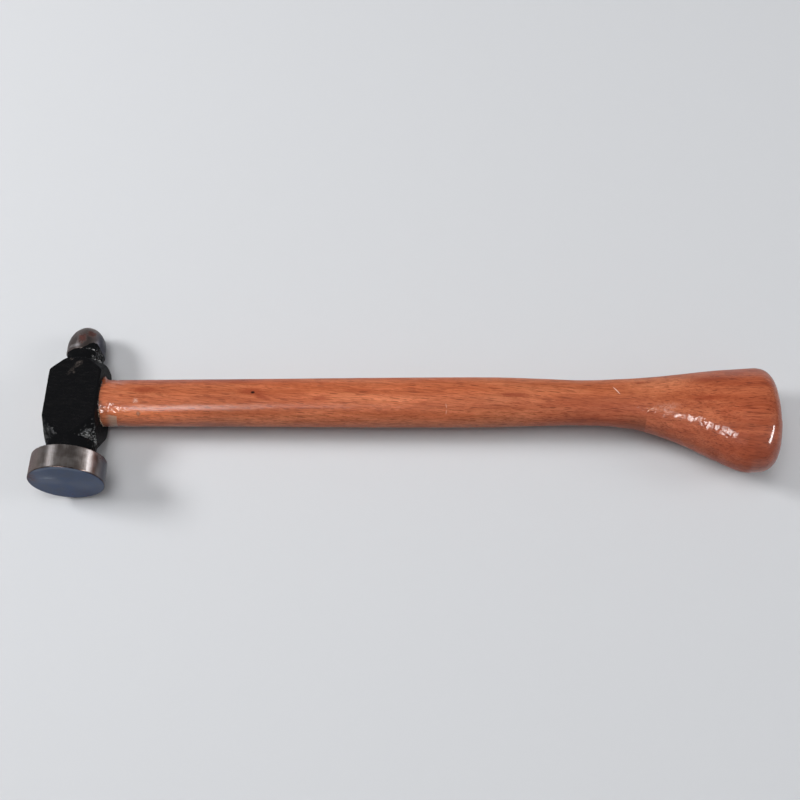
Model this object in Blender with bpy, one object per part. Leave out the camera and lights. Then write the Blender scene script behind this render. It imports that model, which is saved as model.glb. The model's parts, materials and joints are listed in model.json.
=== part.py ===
"""Ball peen hammer with a broad flat face, a small ball peen and a beech pistol-grip handle.

The hammer is modelled in its own axes: the head's axis is Y, with the ball at +Y and the flat
face at -Y, and the handle runs out along +X from the middle of the eye.  A parent empty then
lays it on its side, where the disc's rim, the ball and the grip's bulb touch the surface.
"""

from math import cos, hypot, pi, sin

import bmesh
import bpy
from mathutils import Matrix, Vector

# Head, along its axis from the flat face (-Y) to the ball (+Y), in metres.
FACE_Y = -0.0306
FACE_RADIUS = 0.0131
FACE_EDGE = 0.0004
DISC_THICKNESS = 0.0086
DISC_BACK_RADIUS = 0.01295
DISC_BACK_EDGE = 0.0003
FACE_NECK_RADIUS = 0.0083
FACE_NECK_FILLET = 0.0012
FACE_NECK_RISE = 0.0006
NECK_ROOT_RADIUS = 0.0087
NECK_ROOT_Y = -0.0165
BODY_HALF_WIDTH = 0.00915
BODY_HALF_THICKNESS = 0.0090
BODY_EDGE = 0.0007
BLOCK_INSET = 0.0010
CORNER_Y = 0.0091
BALL_FACET_SLANT = 1.2
FACE_FACET_SLANT = 1.0
BALL_SHOULDER_Y = 0.0135
BALL_NECK_RADIUS = 0.0058
BALL_NECK_Y = 0.0156
BALL_NECK_FILLET = 0.0008
BALL_RIM_Y = 0.0190
BALL_RIM_RISE = 0.0006
BALL_RIM_EDGE = 0.0003
BALL_RADIUS = 0.00685
BALL_CENTRE_Y = 0.0215
BALL_REACH = 0.0089

# The turned form that rounds the block down to the necks.
ENVELOPE_CLEARANCE = 0.0010
ENVELOPE_START = 0.0030
ENVELOPE_ROOT_FILLET = 0.0040
ENVELOPE_FACE_RISE = 0.0085
ENVELOPE_BALL_RISE = 0.0020
ENVELOPE_SHOULDER_LIP = 0.0006
ENVELOPE_SHOULDER_FILLET = 0.0012
SPINDLE_COVER = 0.0002
BALL_NECK_COVER = 0.0003
SPINDLE_TAPER_LENGTH = 0.0040

# Eye, along X: half sizes along Y and Z at the handle side, the waist and the outer side.
EYE_MOUTH = (0.0070, 0.0052)
EYE_WAIST = (0.0067, 0.0049)
EYE_OUTER = (0.0076, 0.0058)
EYE_WAIST_X = 0.0020
CUTTER_OVERRUN = 0.0020
GAP = 0.0003

# Handle, along X from the eye.
TENON_PROUD = 0.0007
TENON_ROOT_LENGTH = 0.0010
SHOULDER_X = BODY_HALF_WIDTH + GAP
GRIP_START_X = 0.150
HANDLE_END_X = 0.2434
DOME_START_X = 0.2335
DOME_POWER = 3.3
LAST_RING_SHARE = 0.9985

# Wedges, driven in from the outer side of the eye.
WOOD_WEDGE_DEPTH = 0.0130
WOOD_WEDGE_THICKNESS = (0.0026, 0.0008)
STEEL_WEDGE_DEPTH = 0.0085
STEEL_WEDGE_THICKNESS = (0.0018, 0.0006)
STEEL_WEDGE_WIDTH = 0.0080
WEDGE_CUTTER_OVERRUN = 0.0024

BEAD_WIDTH = 0.0011
BEAD_HEIGHT = 0.0010
BEAD_SLOPE_SHARE = 0.6

TURNED_SEGMENTS = 48
HANDLE_SEGMENTS = 32
EYE_SEGMENTS = 32
FILLET_STEPS = 3
BALL_STEPS = 8
SHAFT_RINGS = 12
GRIP_RINGS = 18
DOME_RINGS = 9
SMOOTH_BELOW = pi / 7

MOST_TILT = 0.3
TILT_STEPS = 40

# Handle outline: (x, upper edge y, lower edge y, half thickness z).
HANDLE_STATIONS = (
    (0.0094, 0.0083, -0.0081, 0.0082),
    (0.0600, 0.0085, -0.0083, 0.0084),
    (0.1100, 0.0088, -0.0086, 0.0087),
    (0.1460, 0.0088, -0.0086, 0.0087),
    (0.1620, 0.0083, -0.0082, 0.0083),
    (0.1770, 0.0076, -0.0080, 0.0080),
    (0.1900, 0.0079, -0.0087, 0.0085),
    (0.2010, 0.0085, -0.0110, 0.0097),
    (0.2110, 0.0095, -0.0152, 0.0113),
    (0.2220, 0.0107, -0.0211, 0.0133),
    (0.2310, 0.0113, -0.0252, 0.0144),
    (0.2434, 0.0122, -0.0250, 0.0147),
)


def clear_scene():
    for obj in list(bpy.data.objects):
        bpy.data.objects.remove(obj, do_unlink=True)


def make_material(name, colour, roughness, metallic):
    material = bpy.data.materials.new(name)
    material.use_nodes = True
    shader = material.node_tree.nodes["Principled BSDF"]
    shader.inputs["Base Color"].default_value = (*colour, 1.0)
    shader.inputs["Roughness"].default_value = roughness
    shader.inputs["Metallic"].default_value = metallic
    material.diffuse_color = (*colour, 1.0)
    return material


def make_object(name, bm, parent, material=None):
    """Puts the mesh in the scene; without a material it is a cutter or a guide."""
    bmesh.ops.recalc_face_normals(bm, faces=bm.faces)
    if bm.calc_volume(signed=True) < 0:
        bmesh.ops.reverse_faces(bm, faces=bm.faces)
    mesh = bpy.data.meshes.new(name)
    bm.to_mesh(mesh)
    bm.free()
    obj = bpy.data.objects.new(name, mesh)
    bpy.context.scene.collection.objects.link(obj)
    obj.parent = parent
    if material:
        mesh.materials.append(material)
        mesh.shade_smooth()
        mesh.set_sharp_from_angle(angle=SMOOTH_BELOW)
    else:
        obj.hide_render = True
        obj.display_type = "WIRE"
    return obj


def add_boolean(obj, operation, other):
    modifier = obj.modifiers.new(f"{operation.lower()} {other.name}", "BOOLEAN")
    modifier.operation = operation
    modifier.object = other
    modifier.solver = "EXACT"


def rounded_outline(corners, steps=FILLET_STEPS):
    """Turns corners (radius, y, fillet) into outline points with each fillet as an arc."""
    outline = []
    for i, (r, y, fillet) in enumerate(corners):
        here = Vector((r, y))
        if not fillet:
            outline.append(here)
            continue
        back = (Vector(corners[i - 1][:2]) - here).normalized()
        ahead = (Vector(corners[i + 1][:2]) - here).normalized()
        half_angle = back.angle(ahead) / 2
        centre = here + (back + ahead).normalized() * (fillet / sin(half_angle))
        start = here + back * (fillet / (sin(half_angle) / cos(half_angle))) - centre
        turn = start.angle_signed(here + ahead * (fillet * cos(half_angle) / sin(half_angle)) - centre)
        for step in range(steps + 1):
            outline.append(centre + Matrix.Rotation(-turn * step / steps, 2) @ start)
    return outline


def turned(outline, segments=TURNED_SEGMENTS):
    """Spins an outline of (radius, y) points about the Y axis into a closed mesh."""
    bm = bmesh.new()
    verts = [bm.verts.new((r, y, 0.0)) for r, y in outline]
    edges = [bm.edges.new(pair) for pair in zip(verts, verts[1:])]
    bmesh.ops.spin(
        bm, geom=verts + edges, cent=(0, 0, 0), axis=(0, 1, 0), angle=2 * pi, steps=segments, use_merge=True
    )
    bmesh.ops.remove_doubles(bm, verts=bm.verts, dist=1e-6)
    return bm


def loft(rings):
    """Joins rings of equal length, each a list of points, and caps both ends."""
    bm = bmesh.new()
    rows = [[bm.verts.new(point) for point in ring] for ring in rings]
    for near, far in zip(rows, rows[1:]):
        for i in range(len(near)):
            j = (i + 1) % len(near)
            bm.faces.new((near[i], near[j], far[j], far[i]))
    bm.faces.new(rows[0])
    bm.faces.new(rows[-1])
    return bm


def oval(x, centre_y, half_y, half_z, power=2.0, segments=HANDLE_SEGMENTS):
    """A ring across X: an ellipse, or a fuller oval where power is above 2."""
    ring = []
    for i in range(segments):
        angle = 2 * pi * (i + 0.5) / segments
        y, z = cos(angle), sin(angle)
        reach = (abs(y) ** power + abs(z) ** power) ** (-1.0 / power)
        ring.append((x, centre_y + half_y * y * reach, half_z * z * reach))
    return ring


def between(stations, x, column):
    """Reads one column of the stations at x, on a smooth curve through them."""
    last = len(stations) - 2
    i = max(k for k in range(last + 1) if k == 0 or stations[k][0] <= x)

    def slope(k):
        low, high = stations[max(k - 1, 0)], stations[min(k + 1, last + 1)]
        return (high[column] - low[column]) / (high[0] - low[0])

    a, b = stations[i], stations[i + 1]
    length = b[0] - a[0]
    t = min(max((x - a[0]) / length, 0.0), 1.0)
    return (
        (2 * t**3 - 3 * t**2 + 1) * a[column]
        + (t**3 - 2 * t**2 + t) * length * slope(i)
        + (3 * t**2 - 2 * t**3) * b[column]
        + (t**3 - t**2) * length * slope(i + 1)
    )


def handle_section(x):
    """Centre y, half height and half thickness of the handle at x, domed over at its end."""
    top, bottom, half_z = (between(HANDLE_STATIONS, x, column) for column in (1, 2, 3))
    dome = max(x - DOME_START_X, 0.0) / (HANDLE_END_X - DOME_START_X)
    shrink = max(1.0 - dome**DOME_POWER, 0.0) ** (1.0 / DOME_POWER)
    return (top + bottom) / 2, (top - bottom) / 2 * shrink, half_z * shrink


def handle_xs():
    """Where the handle's rings stand: even along the shaft, closer on the grip and its dome."""
    shaft_step = (GRIP_START_X - SHOULDER_X) / SHAFT_RINGS
    grip_step = (DOME_START_X - GRIP_START_X) / GRIP_RINGS
    dome_length = HANDLE_END_X - DOME_START_X
    shaft = [SHOULDER_X + shaft_step * i for i in range(SHAFT_RINGS)]
    grip = [GRIP_START_X + grip_step * i for i in range(GRIP_RINGS)]
    dome = [DOME_START_X + dome_length * sin(pi / 2 * i / DOME_RINGS) for i in range(DOME_RINGS)]
    return shaft + grip + dome + [DOME_START_X + dome_length * LAST_RING_SHARE]


def eye_ring(x, clearance, segments):
    """The eye's oval at x, smaller all round by the clearance."""
    if x > EYE_WAIST_X:
        share, target = (x - EYE_WAIST_X) / (BODY_HALF_WIDTH - EYE_WAIST_X), EYE_MOUTH
    else:
        share, target = (EYE_WAIST_X - x) / (BODY_HALF_WIDTH + EYE_WAIST_X), EYE_OUTER
    half_y, half_z = (w + (t - w) * share - clearance for w, t in zip(EYE_WAIST, target))
    return oval(x, 0.0, half_y, half_z, segments=segments)


def block(x_range, y_range, z_range):
    bm = bmesh.new()
    bmesh.ops.create_cube(bm, size=1.0)
    for vert in bm.verts:
        for axis, (low, high) in enumerate((x_range, y_range, z_range)):
            vert.co[axis] = low if vert.co[axis] < 0 else high
    return bm


def cut_corner(bm, point, normal):
    """Slices a corner off a convex mesh and closes the cut with one flat facet."""
    cut = bmesh.ops.bisect_plane(
        bm, geom=bm.verts[:] + bm.edges[:] + bm.faces[:], plane_co=point, plane_no=normal, clear_outer=True
    )
    edges = [item for item in cut["geom_cut"] if isinstance(item, bmesh.types.BMEdge)]
    bmesh.ops.contextual_create(bm, geom=edges)


def head_body():
    """The square eye block with its long edges eased and its eight corners faceted."""
    half_x, half_z = BODY_HALF_WIDTH, BODY_HALF_THICKNESS
    start_y = FACE_Y + DISC_THICKNESS + BLOCK_INSET
    bm = block((-half_x, half_x), (start_y, BALL_NECK_Y), (-half_z, half_z))
    long_edges = [e for e in bm.edges if abs(e.verts[0].co.y - e.verts[1].co.y) > CORNER_Y]
    bmesh.ops.bevel(bm, geom=long_edges, offset=BODY_EDGE, segments=2, affect="EDGES", profile=0.5)
    for side, slant in ((1, BALL_FACET_SLANT), (-1, FACE_FACET_SLANT)):
        for sx in (1, -1):
            for sz in (1, -1):
                corner = (sx * half_x, side * CORNER_Y, sz * half_z)
                cut_corner(bm, corner, Vector((sx, side * slant, sz)).normalized())
    return bm


def body_envelope():
    """The turned form that the block is trimmed to: it rounds both ends down to the necks."""
    reach = hypot(BODY_HALF_WIDTH, BODY_HALF_THICKNESS) + ENVELOPE_CLEARANCE
    start_y = NECK_ROOT_Y - ENVELOPE_START
    corners = (
        (0.0, start_y, 0),
        (FACE_NECK_RADIUS - SPINDLE_COVER, start_y, 0),
        (NECK_ROOT_RADIUS, NECK_ROOT_Y, ENVELOPE_ROOT_FILLET),
        (reach, NECK_ROOT_Y + ENVELOPE_FACE_RISE, 0),
        (reach, BALL_SHOULDER_Y - ENVELOPE_BALL_RISE, 0),
        (BODY_HALF_WIDTH + ENVELOPE_SHOULDER_LIP, BALL_SHOULDER_Y, ENVELOPE_SHOULDER_FILLET),
        (BALL_NECK_RADIUS - BALL_NECK_COVER, BALL_NECK_Y, 0),
        (0.0, BALL_NECK_Y, 0),
    )
    return turned(rounded_outline(corners))


def head_spindle():
    """The turned core: face disc, neck, the middle inside the block, ball-side neck and ball."""
    back_y = FACE_Y + DISC_THICKNESS
    corners = [
        (0.0, FACE_Y, 0),
        (FACE_RADIUS, FACE_Y, FACE_EDGE),
        (DISC_BACK_RADIUS, back_y, DISC_BACK_EDGE),
        (FACE_NECK_RADIUS, back_y + FACE_NECK_RISE, FACE_NECK_FILLET),
        (NECK_ROOT_RADIUS - SPINDLE_COVER, NECK_ROOT_Y, 0),
        (BALL_NECK_RADIUS, NECK_ROOT_Y + SPINDLE_TAPER_LENGTH, 0),
        (BALL_NECK_RADIUS, BALL_RIM_Y - BALL_RIM_RISE, BALL_NECK_FILLET),
        (BALL_RADIUS, BALL_RIM_Y, BALL_RIM_EDGE),
        (BALL_RADIUS, BALL_CENTRE_Y, 0),
    ]
    dome = [
        Vector((BALL_RADIUS * cos(angle), BALL_CENTRE_Y + BALL_REACH * sin(angle)))
        for angle in (pi / 2 * i / BALL_STEPS for i in range(1, BALL_STEPS))
    ]
    tip = Vector((0.0, BALL_CENTRE_Y + BALL_REACH))
    return turned(rounded_outline(corners) + dome + [tip])


def build_head(parent):
    steel = make_material("head steel", (0.10, 0.10, 0.105), 0.38, 0.85)
    head = make_object("hammer_head", head_body(), parent, steel)
    envelope = make_object("head envelope", body_envelope(), parent)
    spindle = make_object("head spindle", head_spindle(), parent)
    eye_start, eye_end = -BODY_HALF_WIDTH - CUTTER_OVERRUN, BODY_HALF_WIDTH + CUTTER_OVERRUN
    xs = (eye_start, -BODY_HALF_WIDTH, EYE_WAIST_X, BODY_HALF_WIDTH, eye_end)
    eye = make_object("eye cutter", loft([eye_ring(x, 0.0, EYE_SEGMENTS) for x in xs]), parent)
    add_boolean(head, "INTERSECT", envelope)
    add_boolean(head, "UNION", spindle)
    add_boolean(head, "DIFFERENCE", eye)
    return head


def wedge(depth, thickness, width, axis, grow=0.0):
    """A tapered plate driven in along +X; its thickness lies along the given axis (1 = Y, 2 = Z)."""
    start = -BODY_HALF_WIDTH - TENON_PROUD
    half_width = width / 2 + grow
    outer = start - (WEDGE_CUTTER_OVERRUN if grow else 0.0)
    bm = block((outer, start + depth + grow), (-half_width, half_width), (-1.0, 1.0))
    slope = (thickness[1] - thickness[0]) / depth
    for vert in bm.verts:
        half = (thickness[0] + slope * (vert.co.x - start)) / 2 + grow
        vert.co.z = half if vert.co.z > 0 else -half
        if axis == 1:
            vert.co.y, vert.co.z = vert.co.z, vert.co.y
    return bm


def steel_wedge_mesh(grow=0.0):
    return wedge(STEEL_WEDGE_DEPTH, STEEL_WEDGE_THICKNESS, STEEL_WEDGE_WIDTH, 1, grow)


def wood_wedge_mesh(grow=0.0):
    return wedge(WOOD_WEDGE_DEPTH, WOOD_WEDGE_THICKNESS, 2 * EYE_OUTER[0], 2, grow)


def build_handle(parent):
    beech = make_material("varnished beech", (0.50, 0.19, 0.08), 0.35, 0.0)
    tenon_xs = (
        -BODY_HALF_WIDTH - TENON_PROUD,
        -BODY_HALF_WIDTH,
        EYE_WAIST_X,
        BODY_HALF_WIDTH - TENON_ROOT_LENGTH,
        SHOULDER_X,
    )
    rings = [eye_ring(x, GAP, HANDLE_SEGMENTS) for x in tenon_xs]
    for x in handle_xs():
        centre_y, half_y, half_z = handle_section(x)
        rings.append(oval(x, centre_y, half_y, half_z))
    handle = make_object("handle", loft(rings), parent, beech)
    kerf = make_object("kerf cutter", wood_wedge_mesh(GAP), parent)
    slot = make_object("steel wedge slot", steel_wedge_mesh(GAP), parent)
    add_boolean(handle, "DIFFERENCE", kerf)
    add_boolean(handle, "DIFFERENCE", slot)
    return handle, slot


def build_wedges(parent, slot):
    wood = make_material("wedge wood", (0.62, 0.40, 0.20), 0.6, 0.0)
    steel = make_material("wedge steel", (0.42, 0.41, 0.40), 0.45, 1.0)
    wood_wedge = make_object("wood_wedge", wood_wedge_mesh(), parent, wood)
    tenon_xs = (-BODY_HALF_WIDTH - CUTTER_OVERRUN, -BODY_HALF_WIDTH, EYE_WAIST_X, BODY_HALF_WIDTH)
    trim = make_object("wedge trim", loft([eye_ring(x, GAP, EYE_SEGMENTS) for x in tenon_xs]), parent)
    add_boolean(wood_wedge, "INTERSECT", trim)
    add_boolean(wood_wedge, "DIFFERENCE", slot)
    make_object("steel_wedge", steel_wedge_mesh(), parent, steel)


def build_bead(parent):
    """The ring of hardened glue in the corner between the shaft and the head."""
    glue = make_material("glue", (0.75, 0.62, 0.46), 0.3, 0.0)
    _, half_y, _ = handle_section(SHOULDER_X)
    inner = half_y + GAP
    start = BODY_HALF_WIDTH + GAP
    outline = [
        Vector((inner, start)),
        Vector((inner + BEAD_HEIGHT, start)),
        Vector((inner + BEAD_HEIGHT * BEAD_SLOPE_SHARE, start + BEAD_WIDTH * BEAD_SLOPE_SHARE)),
        Vector((inner + GAP, start + BEAD_WIDTH)),
        Vector((inner, start + BEAD_WIDTH)),
    ]
    bm = turned(outline + outline[:1], EYE_SEGMENTS)
    bmesh.ops.rotate(bm, verts=bm.verts, cent=(0, 0, 0), matrix=Matrix.Rotation(-pi / 2, 3, "Z"))
    make_object("glue_bead", bm, parent, glue)


def world_points(obj):
    graph = bpy.context.evaluated_depsgraph_get()
    evaluated = obj.evaluated_get(graph)
    mesh = evaluated.to_mesh()
    points = [evaluated.matrix_world @ vert.co for vert in mesh.vertices]
    evaluated.to_mesh_clear()
    return points


def level_turn(turned_by, first, second):
    """Finds the turn at which the lowest points of the two sets stand equally high."""
    low, high = -MOST_TILT, MOST_TILT
    for _ in range(TILT_STEPS):
        turn = turned_by((low + high) / 2)
        if min((turn @ p).z for p in first) < min((turn @ p).z for p in second):
            low = (low + high) / 2
        else:
            high = (low + high) / 2
    return turn


def lay_on_side(root, head, handle):
    """Rolls the hammer until the disc's rim and the ball touch the surface, then the grip."""
    head_points = world_points(head)
    handle_points = world_points(handle)
    disc = [p for p in head_points if p.y < FACE_Y + DISC_THICKNESS + GAP]
    ball = [p for p in head_points if p.y > BALL_RIM_Y]
    roll = level_turn(lambda angle: Matrix.Rotation(angle, 3, "X"), ball, disc)
    turn = level_turn(lambda angle: roll @ Matrix.Rotation(angle, 3, "Y"), head_points, handle_points)
    points = [turn @ p for p in head_points + handle_points]
    lows, highs = ([pick(p[k] for p in points) for k in range(3)] for pick in (min, max))
    root.rotation_euler = turn.to_euler()
    root.location = (-(lows[0] + highs[0]) / 2, -(lows[1] + highs[1]) / 2, -lows[2])


def main():
    clear_scene()
    root = bpy.data.objects.new("hammer at rest", None)
    bpy.context.scene.collection.objects.link(root)
    head = build_head(root)
    handle, slot = build_handle(root)
    build_wedges(root, slot)
    build_bead(root)
    bpy.context.view_layer.update()
    lay_on_side(root, head, handle)
    bpy.context.view_layer.update()


main()
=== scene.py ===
"""Looks for the ball peen hammer: a steel head under black enamel, and a varnished beech handle.

Every piece is built in the hammer's own axes, as the CAD part is: Y runs along the head from the
flat face (-Y) to the ball (+Y), and X runs out along the handle from the middle of the eye.  The
record's mounts say where those axes lie at rest, and each mesh is then turned to that place.
"""

import json
from functools import reduce
from math import cos, hypot, pi, radians, sin

import bmesh
import bpy
import numpy as np
from mathutils import Matrix, Vector, noise


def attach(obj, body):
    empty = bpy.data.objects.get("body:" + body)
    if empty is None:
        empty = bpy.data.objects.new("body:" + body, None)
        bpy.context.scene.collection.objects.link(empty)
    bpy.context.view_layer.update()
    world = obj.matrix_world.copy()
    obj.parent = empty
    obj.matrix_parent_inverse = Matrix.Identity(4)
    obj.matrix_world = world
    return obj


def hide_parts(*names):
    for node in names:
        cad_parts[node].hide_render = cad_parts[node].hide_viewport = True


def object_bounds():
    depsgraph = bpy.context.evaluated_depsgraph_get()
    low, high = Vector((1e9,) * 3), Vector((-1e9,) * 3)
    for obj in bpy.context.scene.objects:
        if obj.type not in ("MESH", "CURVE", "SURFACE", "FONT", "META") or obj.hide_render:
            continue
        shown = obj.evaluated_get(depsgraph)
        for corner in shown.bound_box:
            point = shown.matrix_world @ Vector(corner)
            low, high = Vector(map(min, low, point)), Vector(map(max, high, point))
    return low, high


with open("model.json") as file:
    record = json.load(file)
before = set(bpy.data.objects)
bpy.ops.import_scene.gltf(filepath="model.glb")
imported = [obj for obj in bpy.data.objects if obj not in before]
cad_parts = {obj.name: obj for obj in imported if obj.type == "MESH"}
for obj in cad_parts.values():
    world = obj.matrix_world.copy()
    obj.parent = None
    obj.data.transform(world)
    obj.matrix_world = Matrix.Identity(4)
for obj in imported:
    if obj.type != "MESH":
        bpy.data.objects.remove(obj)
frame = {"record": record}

CAD_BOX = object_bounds()
MM = 0.001

# Head, along its axis, as in the CAD part (metres).
FACE_Y = -0.0306
FACE_RADIUS = 0.0131
FACE_EDGE = 0.0004
DISC_THICKNESS = 0.0086
DISC_BACK_RADIUS = 0.01295
DISC_BACK_Y = FACE_Y + DISC_THICKNESS
FACE_NECK_RADIUS = 0.0083
NECK_ROOT_RADIUS = 0.0087
NECK_ROOT_Y = -0.0165
BODY_HALF_WIDTH = 0.00915
BODY_HALF_THICKNESS = 0.0090
CORNER_Y = 0.0091
BALL_SHOULDER_Y = 0.0135
BALL_NECK_RADIUS = 0.0058
BALL_NECK_Y = 0.0156
BALL_RIM_Y = 0.0190
BALL_RADIUS = 0.00685
BALL_CENTRE_Y = 0.0215
BALL_REACH = 0.0089
FACET_SLANT_BALL_SIDE = 1.2
FACET_SLANT_FACE_SIDE = 1.0
ENAMEL_DEPTH = 0.00025

# Eye, tenon and wedges, as in the CAD part.
EYE_MOUTH = (0.0070, 0.0052)
EYE_WAIST = (0.0067, 0.0049)
EYE_OUTER = (0.0076, 0.0058)
EYE_WAIST_X = 0.0020
TENON_PROUD = 0.0007
TENON_START_X = -BODY_HALF_WIDTH - TENON_PROUD
# Each wedge: depth, thickness at its head and point, width, and the axis of its thickness.
WOOD_WEDGE = (0.0130, (0.0026, 0.0008), 2 * EYE_OUTER[0], "Z")
STEEL_WEDGE = (0.0085, (0.0018, 0.0006), 0.0080, "Y")

# Handle outline, as in the CAD part: (x, upper edge y, lower edge y, half thickness z).
SHOULDER_X = BODY_HALF_WIDTH + 0.00012
HANDLE_END_X = 0.2434
DOME_START_X = 0.2335
DOME_POWER = 3.3
HANDLE_STATIONS = (
    (0.0094, 0.0083, -0.0081, 0.0082),
    (0.0600, 0.0085, -0.0083, 0.0084),
    (0.1100, 0.0088, -0.0086, 0.0087),
    (0.1460, 0.0088, -0.0086, 0.0087),
    (0.1620, 0.0083, -0.0082, 0.0083),
    (0.1770, 0.0076, -0.0080, 0.0080),
    (0.1900, 0.0079, -0.0087, 0.0085),
    (0.2010, 0.0085, -0.0110, 0.0097),
    (0.2110, 0.0095, -0.0152, 0.0113),
    (0.2220, 0.0107, -0.0211, 0.0133),
    (0.2310, 0.0113, -0.0252, 0.0144),
    (0.2434, 0.0122, -0.0250, 0.0147),
)

# The clear film left on the grip: where it starts, the degrees round the grip between which it
# lies, its thickness, and how its wrinkles slant.
FILM_START_X = 0.1984
FILM_TOP_ANGLE = 30.0
FILM_LOW_ANGLE = 150.0
FILM_THICKNESS = 0.00012
WRINKLE_SLANT = 58.0
GRIP_RADIUS = 0.011

HEAD_COLUMNS = 288
HANDLE_COLUMNS = 144
CUTTER_COLUMNS = 96
BEAD_COLUMNS = 220
BEAD_SIDES = 12
FIT_GAP = 0.00004


# ---- the hammer's axes at rest

def hammer_axes():
    """The matrix that takes the hammer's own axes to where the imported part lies."""
    mounts = {mount["name"]: mount for mount in frame["record"]["mounts"]}
    face, upper, lower = (mounts[name] for name in ("striking_face", "upper_cheek", "lower_cheek"))
    along_head = -Vector(face["axis"]).normalized()
    across = Vector(upper["axis"]).normalized()
    along_handle = along_head.cross(across).normalized()
    centre = (Vector(upper["pos_m"]) + Vector(lower["pos_m"])) / 2
    turn = Matrix((along_handle, along_head, across)).transposed()
    return Matrix.Translation(centre) @ turn.to_4x4()


HAMMER = hammer_axes()


# ---- small helpers for shapes

def smooth_step(value, low, high):
    t = np.clip((value - low) / (high - low), 0.0, 1.0)
    return t * t * (3 - 2 * t)


def soft_min(a, b, blend):
    """The lower of the two, rounded over where they cross."""
    near = np.maximum(blend - np.abs(a - b), 0.0) / blend
    return np.minimum(a, b) - near * near * blend / 4


def soft_max(a, b, blend):
    return -soft_min(-a, -b, blend)


def lumps(points, size, seed, octaves=1):
    """Smooth noise from about -1 to 1 at each point, with lumps of the given size in metres."""
    shift = Vector((seed * 17.3, seed * 5.1, seed * 9.7))
    flat = points.reshape(-1, 3) / size
    if octaves == 1:
        values = [noise.noise(Vector(p) + shift) for p in flat]
    else:
        values = [noise.fractal(Vector(p) + shift, 1.0, 2.0, octaves) for p in flat]
    return np.array(values).reshape(points.shape[:-1])


def grid_normals(grid):
    """Outward normals of a grid of points whose columns close on themselves."""
    along = np.gradient(grid, axis=0)
    around = np.roll(grid, -1, axis=1) - np.roll(grid, 1, axis=1)
    normal = np.cross(around, along)
    normal /= np.maximum(np.linalg.norm(normal, axis=-1, keepdims=True), 1e-12)
    outward = grid - grid.mean(axis=1, keepdims=True)
    return normal * np.where((normal * outward).sum() < 0, -1.0, 1.0)


def place(name, data):
    """Puts a new object with the given data in the scene."""
    obj = bpy.data.objects.new(name, data)
    bpy.context.scene.collection.objects.link(obj)
    return obj


def add_object(name, bm, sharp=None):
    """Puts a closed mesh in the scene, turned from the hammer's axes to its place at rest."""
    bmesh.ops.recalc_face_normals(bm, faces=bm.faces)
    if bm.calc_volume(signed=True) < 0:
        bmesh.ops.reverse_faces(bm, faces=bm.faces)
    bm.transform(HAMMER)
    mesh = bpy.data.meshes.new(name)
    bm.to_mesh(mesh)
    bm.free()
    mesh.shade_smooth()
    if sharp:
        mesh.set_sharp_from_angle(angle=radians(sharp))
    return place(name, mesh)


def loft(rings, loop=False):
    """Joins rings of points; the ends close on a point in the middle, or on each other."""
    bm = bmesh.new()
    rows = [[bm.verts.new(point) for point in ring] for ring in rings]
    pairs = list(zip(rows, rows[1:]))
    if loop:
        pairs.append((rows[-1], rows[0]))
    for near, far in pairs:
        for i in range(len(near)):
            j = (i + 1) % len(near)
            bm.faces.new((near[i], near[j], far[j], far[i]))
    if not loop:
        for row in (rows[0], rows[-1]):
            middle = bm.verts.new(sum((vert.co for vert in row), Vector()) / len(row))
            for i in range(len(row)):
                bm.faces.new((row[i], row[(i + 1) % len(row)], middle))
    return bm


def cut(obj, *cutters):
    """Takes the cutters out of the object, and applies the modifiers that it has so far."""
    for cutter in cutters:
        modifier = obj.modifiers.new("cut", "BOOLEAN")
        modifier.operation = "DIFFERENCE"
        modifier.object = cutter
        modifier.solver = "EXACT"
    graph = bpy.context.evaluated_depsgraph_get()
    mesh = bpy.data.meshes.new_from_object(obj.evaluated_get(graph))
    obj.modifiers.clear()
    obj.data = mesh


def outline_with_fillets(corners, steps):
    """Turns corners (radius, y, fillet) into outline points, with each fillet as an arc."""
    outline = []
    for i, (radius, y, fillet) in enumerate(corners):
        here = Vector((radius, y))
        if not fillet:
            outline.append(here)
            continue
        back = (Vector(corners[i - 1][:2]) - here).normalized()
        ahead = (Vector(corners[i + 1][:2]) - here).normalized()
        half_angle = back.angle(ahead) / 2
        centre = here + (back + ahead).normalized() * (fillet / sin(half_angle))
        reach = fillet * cos(half_angle) / sin(half_angle)
        start, end = here + back * reach - centre, here + ahead * reach - centre
        turn = start.angle_signed(end)
        for step in range(steps + 1):
            outline.append(centre + Matrix.Rotation(-turn * step / steps, 2) @ start)
    return outline


def fine_outline(points, longest):
    """Adds points along an outline, so that no step is longer than the given length."""
    fine = [points[0]]
    for here, there in zip(points, points[1:]):
        count = max(1, round((there - here).length / longest))
        fine += [here.lerp(there, step / count) for step in range(1, count + 1)]
    return fine


# ---- head

def block_reach(across, up, y):
    """How far the eye block's sides and corner facets lie from the head's axis."""
    to_side = BODY_HALF_WIDTH / np.maximum(np.abs(across), 1e-6)
    to_cheek = BODY_HALF_THICKNESS / np.maximum(np.abs(up), 1e-6)
    reach = soft_min(to_side, to_cheek, 0.0009)
    slant = np.where(y > 0, FACET_SLANT_BALL_SIDE, FACET_SLANT_FACE_SIDE)
    past_corner = np.abs(y) - CORNER_Y
    corner_reach = BODY_HALF_WIDTH + BODY_HALF_THICKNESS - slant * past_corner
    to_facet = corner_reach / (np.abs(across) + np.abs(up))
    return soft_min(reach, to_facet, 0.0008)


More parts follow.
